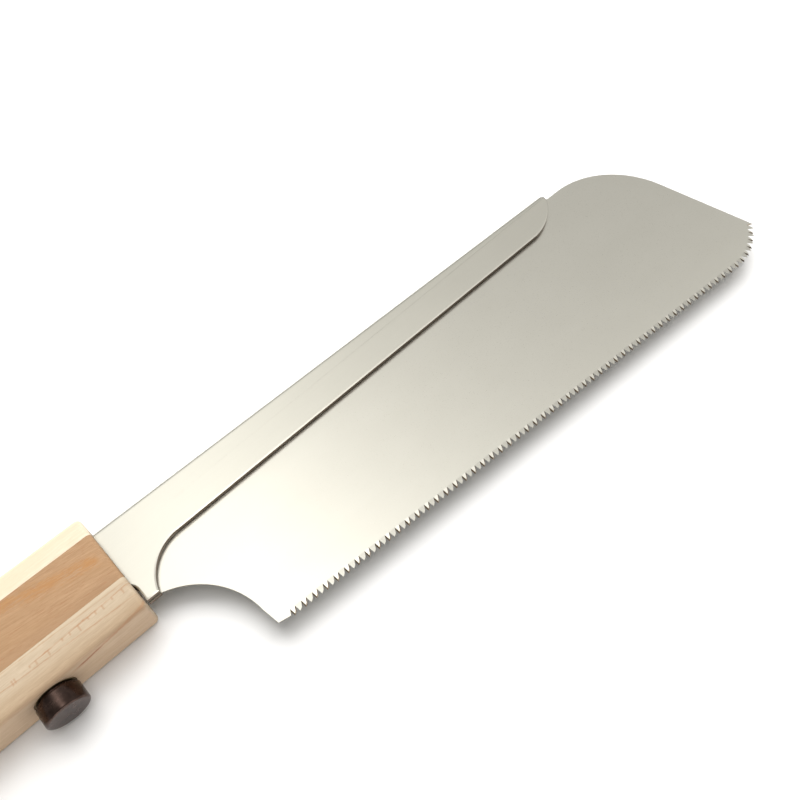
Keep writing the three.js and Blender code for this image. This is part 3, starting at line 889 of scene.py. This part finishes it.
def washer(low, high):
    """Flat ring whose four edges are broken."""
    bore_break, rim_break = 0.05, 0.1
    profile = [
        (BORE_RADIUS, low + bore_break),
        (BORE_RADIUS + bore_break, low),
        (WASHER_RADIUS - rim_break, low),
        (WASHER_RADIUS, low + rim_break),
        (WASHER_RADIUS, high - rim_break),
        (WASHER_RADIUS - rim_break, high),
        (BORE_RADIUS + bore_break, high),
        (BORE_RADIUS, high - bore_break),
        (BORE_RADIUS, low + bore_break),
    ]
    obj = turned("washer_turned", profile, "y")
    shade(obj, 30)
    return obj


piece(knob(), "clamp_screw", "dark_bronze", "clamp_knob")
piece(stud(*extent("clamp_stud", "y")), "clamp_screw", "zinc_steel", "clamp_stud")
# Painted shade: the washer is given the knob's dark bronze so that the gap under the knob reads dark.
piece(washer(*extent("knob_washer", "y")), "handle", "dark_bronze", "knob_washer")

insert = copy_of_node("threaded_insert", "insert_turned")
soften(insert, 0.1, segments=2)
piece(insert, "handle", "brass", "threaded_insert")
pad = copy_of_node("pressure_pad", "pad_turned")
soften(pad, 0.2)
piece(pad, "screw_tip", "brass", "pressure_pad")


# ---------------------------------------------------------------- floor, light and camera

def floor():
    mesh = bpy.data.meshes.new("floor")
    corners = [(-FLOOR_HALF, -FLOOR_HALF, 0), (FLOOR_HALF, -FLOOR_HALF, 0)]
    corners += [(FLOOR_HALF, FLOOR_HALF, 0), (-FLOOR_HALF, FLOOR_HALF, 0)]
    mesh.from_pydata(corners, [], [(0, 1, 2, 3)])
    obj = new_object("floor", mesh)
    obj.location.z = -FLOOR_DROP
    look = Look("floor_paper")
    tone = look.mix(look.noise(0.05, 0.05, 0.05, detail=2.0), (0.835, 0.83, 0.82), (0.855, 0.85, 0.84))
    look.set(Base_Color=tone, Roughness=0.9, Specular_IOR_Level=0.1)
    mesh.materials.append(look.material)


def aim(obj, location, target, roll=0.0):
    """Places a light or the camera and points it at a target."""
    obj.location = location
    obj.rotation_mode = "QUATERNION"
    sight = Vector(target) - obj.location
    turn = Matrix.Rotation(roll, 3, "Z").to_quaternion()
    obj.rotation_quaternion = sight.to_track_quat("-Z", "Y") @ turn


def soft_box(name, location, target, width, height, watts, mirrored=True):
    """A rectangular light, left out of reflections unless mirrored."""
    light = bpy.data.lights.new(name, "AREA")
    light.shape = "RECTANGLE"
    light.size, light.size_y = width, height
    light.energy = watts
    obj = new_object(name, light)
    obj.visible_camera = False
    obj.visible_glossy = mirrored
    aim(obj, location, target)


def room():
    """Room with even, pale walls and a ceiling that is brightest overhead and dimmer past the toe."""
    world = bpy.data.worlds.new("room")
    world.use_nodes = True
    tree = world.node_tree
    tree.nodes.clear()
    coordinate = tree.nodes.new("ShaderNodeTexCoord")
    split = tree.nodes.new("ShaderNodeSeparateXYZ")
    link = tree.links.new
    link(coordinate.outputs["Generated"], split.inputs[0])

    def tones(letter, steps):
        """Brightness by one part of the direction, which runs from -1 to 1, on a ramp from 0 to 1."""
        share = tree.nodes.new("ShaderNodeMapRange")
        link(split.outputs[letter], share.inputs["Value"])
        share.inputs["From Min"].default_value = -1.0
        ramp = tree.nodes.new("ShaderNodeValToRGB")
        link(share.outputs[0], ramp.inputs[0])
        for _ in steps[1:-1]:
            ramp.color_ramp.elements.new(0.5)
        for element, (at, tone) in zip(ramp.color_ramp.elements, steps):
            element.position = (at + 1) / 2
            element.color = (tone, tone, tone, 1.0)
        return ramp.outputs[0]

    ceiling = tree.nodes.new("ShaderNodeMath")
    ceiling.operation = "MULTIPLY"
    link(tones("X", ROOM_ALONG), ceiling.inputs[0])
    link(tones("Y", ROOM_ACROSS), ceiling.inputs[1])
    rise = tree.nodes.new("ShaderNodeMapRange")
    rise.interpolation_type = "SMOOTHSTEP"
    link(split.outputs["Z"], rise.inputs["Value"])
    link(ceiling.outputs[0], rise.inputs["To Max"])
    rise.inputs["From Min"].default_value = CEILING_FROM
    rise.inputs["From Max"].default_value = CEILING_FULL
    rise.inputs["To Min"].default_value = ROOM_WALLS / ROOM_STRENGTH
    power = tree.nodes.new("ShaderNodeMath")
    power.operation = "MULTIPLY"
    link(rise.outputs[0], power.inputs[0])
    power.inputs[1].default_value = ROOM_STRENGTH
    background = tree.nodes.new("ShaderNodeBackground")
    background.inputs["Color"].default_value = ROOM_TINT
    link(power.outputs[0], background.inputs["Strength"])
    output = tree.nodes.new("ShaderNodeOutputWorld")
    link(background.outputs[0], output.inputs[0])
    bpy.context.scene.world = world


def camera():
    view = bpy.data.cameras.new("camera")
    view.lens = CAMERA_LENS
    view.sensor_width = CAMERA_SENSOR
    view.clip_start = 0.005
    view.clip_end = 20.0
    obj = new_object("camera", view)
    aim(obj, CAMERA_PLACE, CAMERA_TARGET, CAMERA_ROLL)
    bpy.context.scene.camera = obj
    bpy.context.scene.view_settings.view_transform = "Standard"


floor()
room()
soft_box(
    "window", location=(0.30, 0.48, 0.83), target=(0, 0, 0), width=1.1, height=0.8, watts=11.8, mirrored=False
)
soft_box("reflector", location=(0.05, -1.2, 0.16), target=(0, 0, 0.01), width=1.6, height=0.28, watts=5.4)
camera()
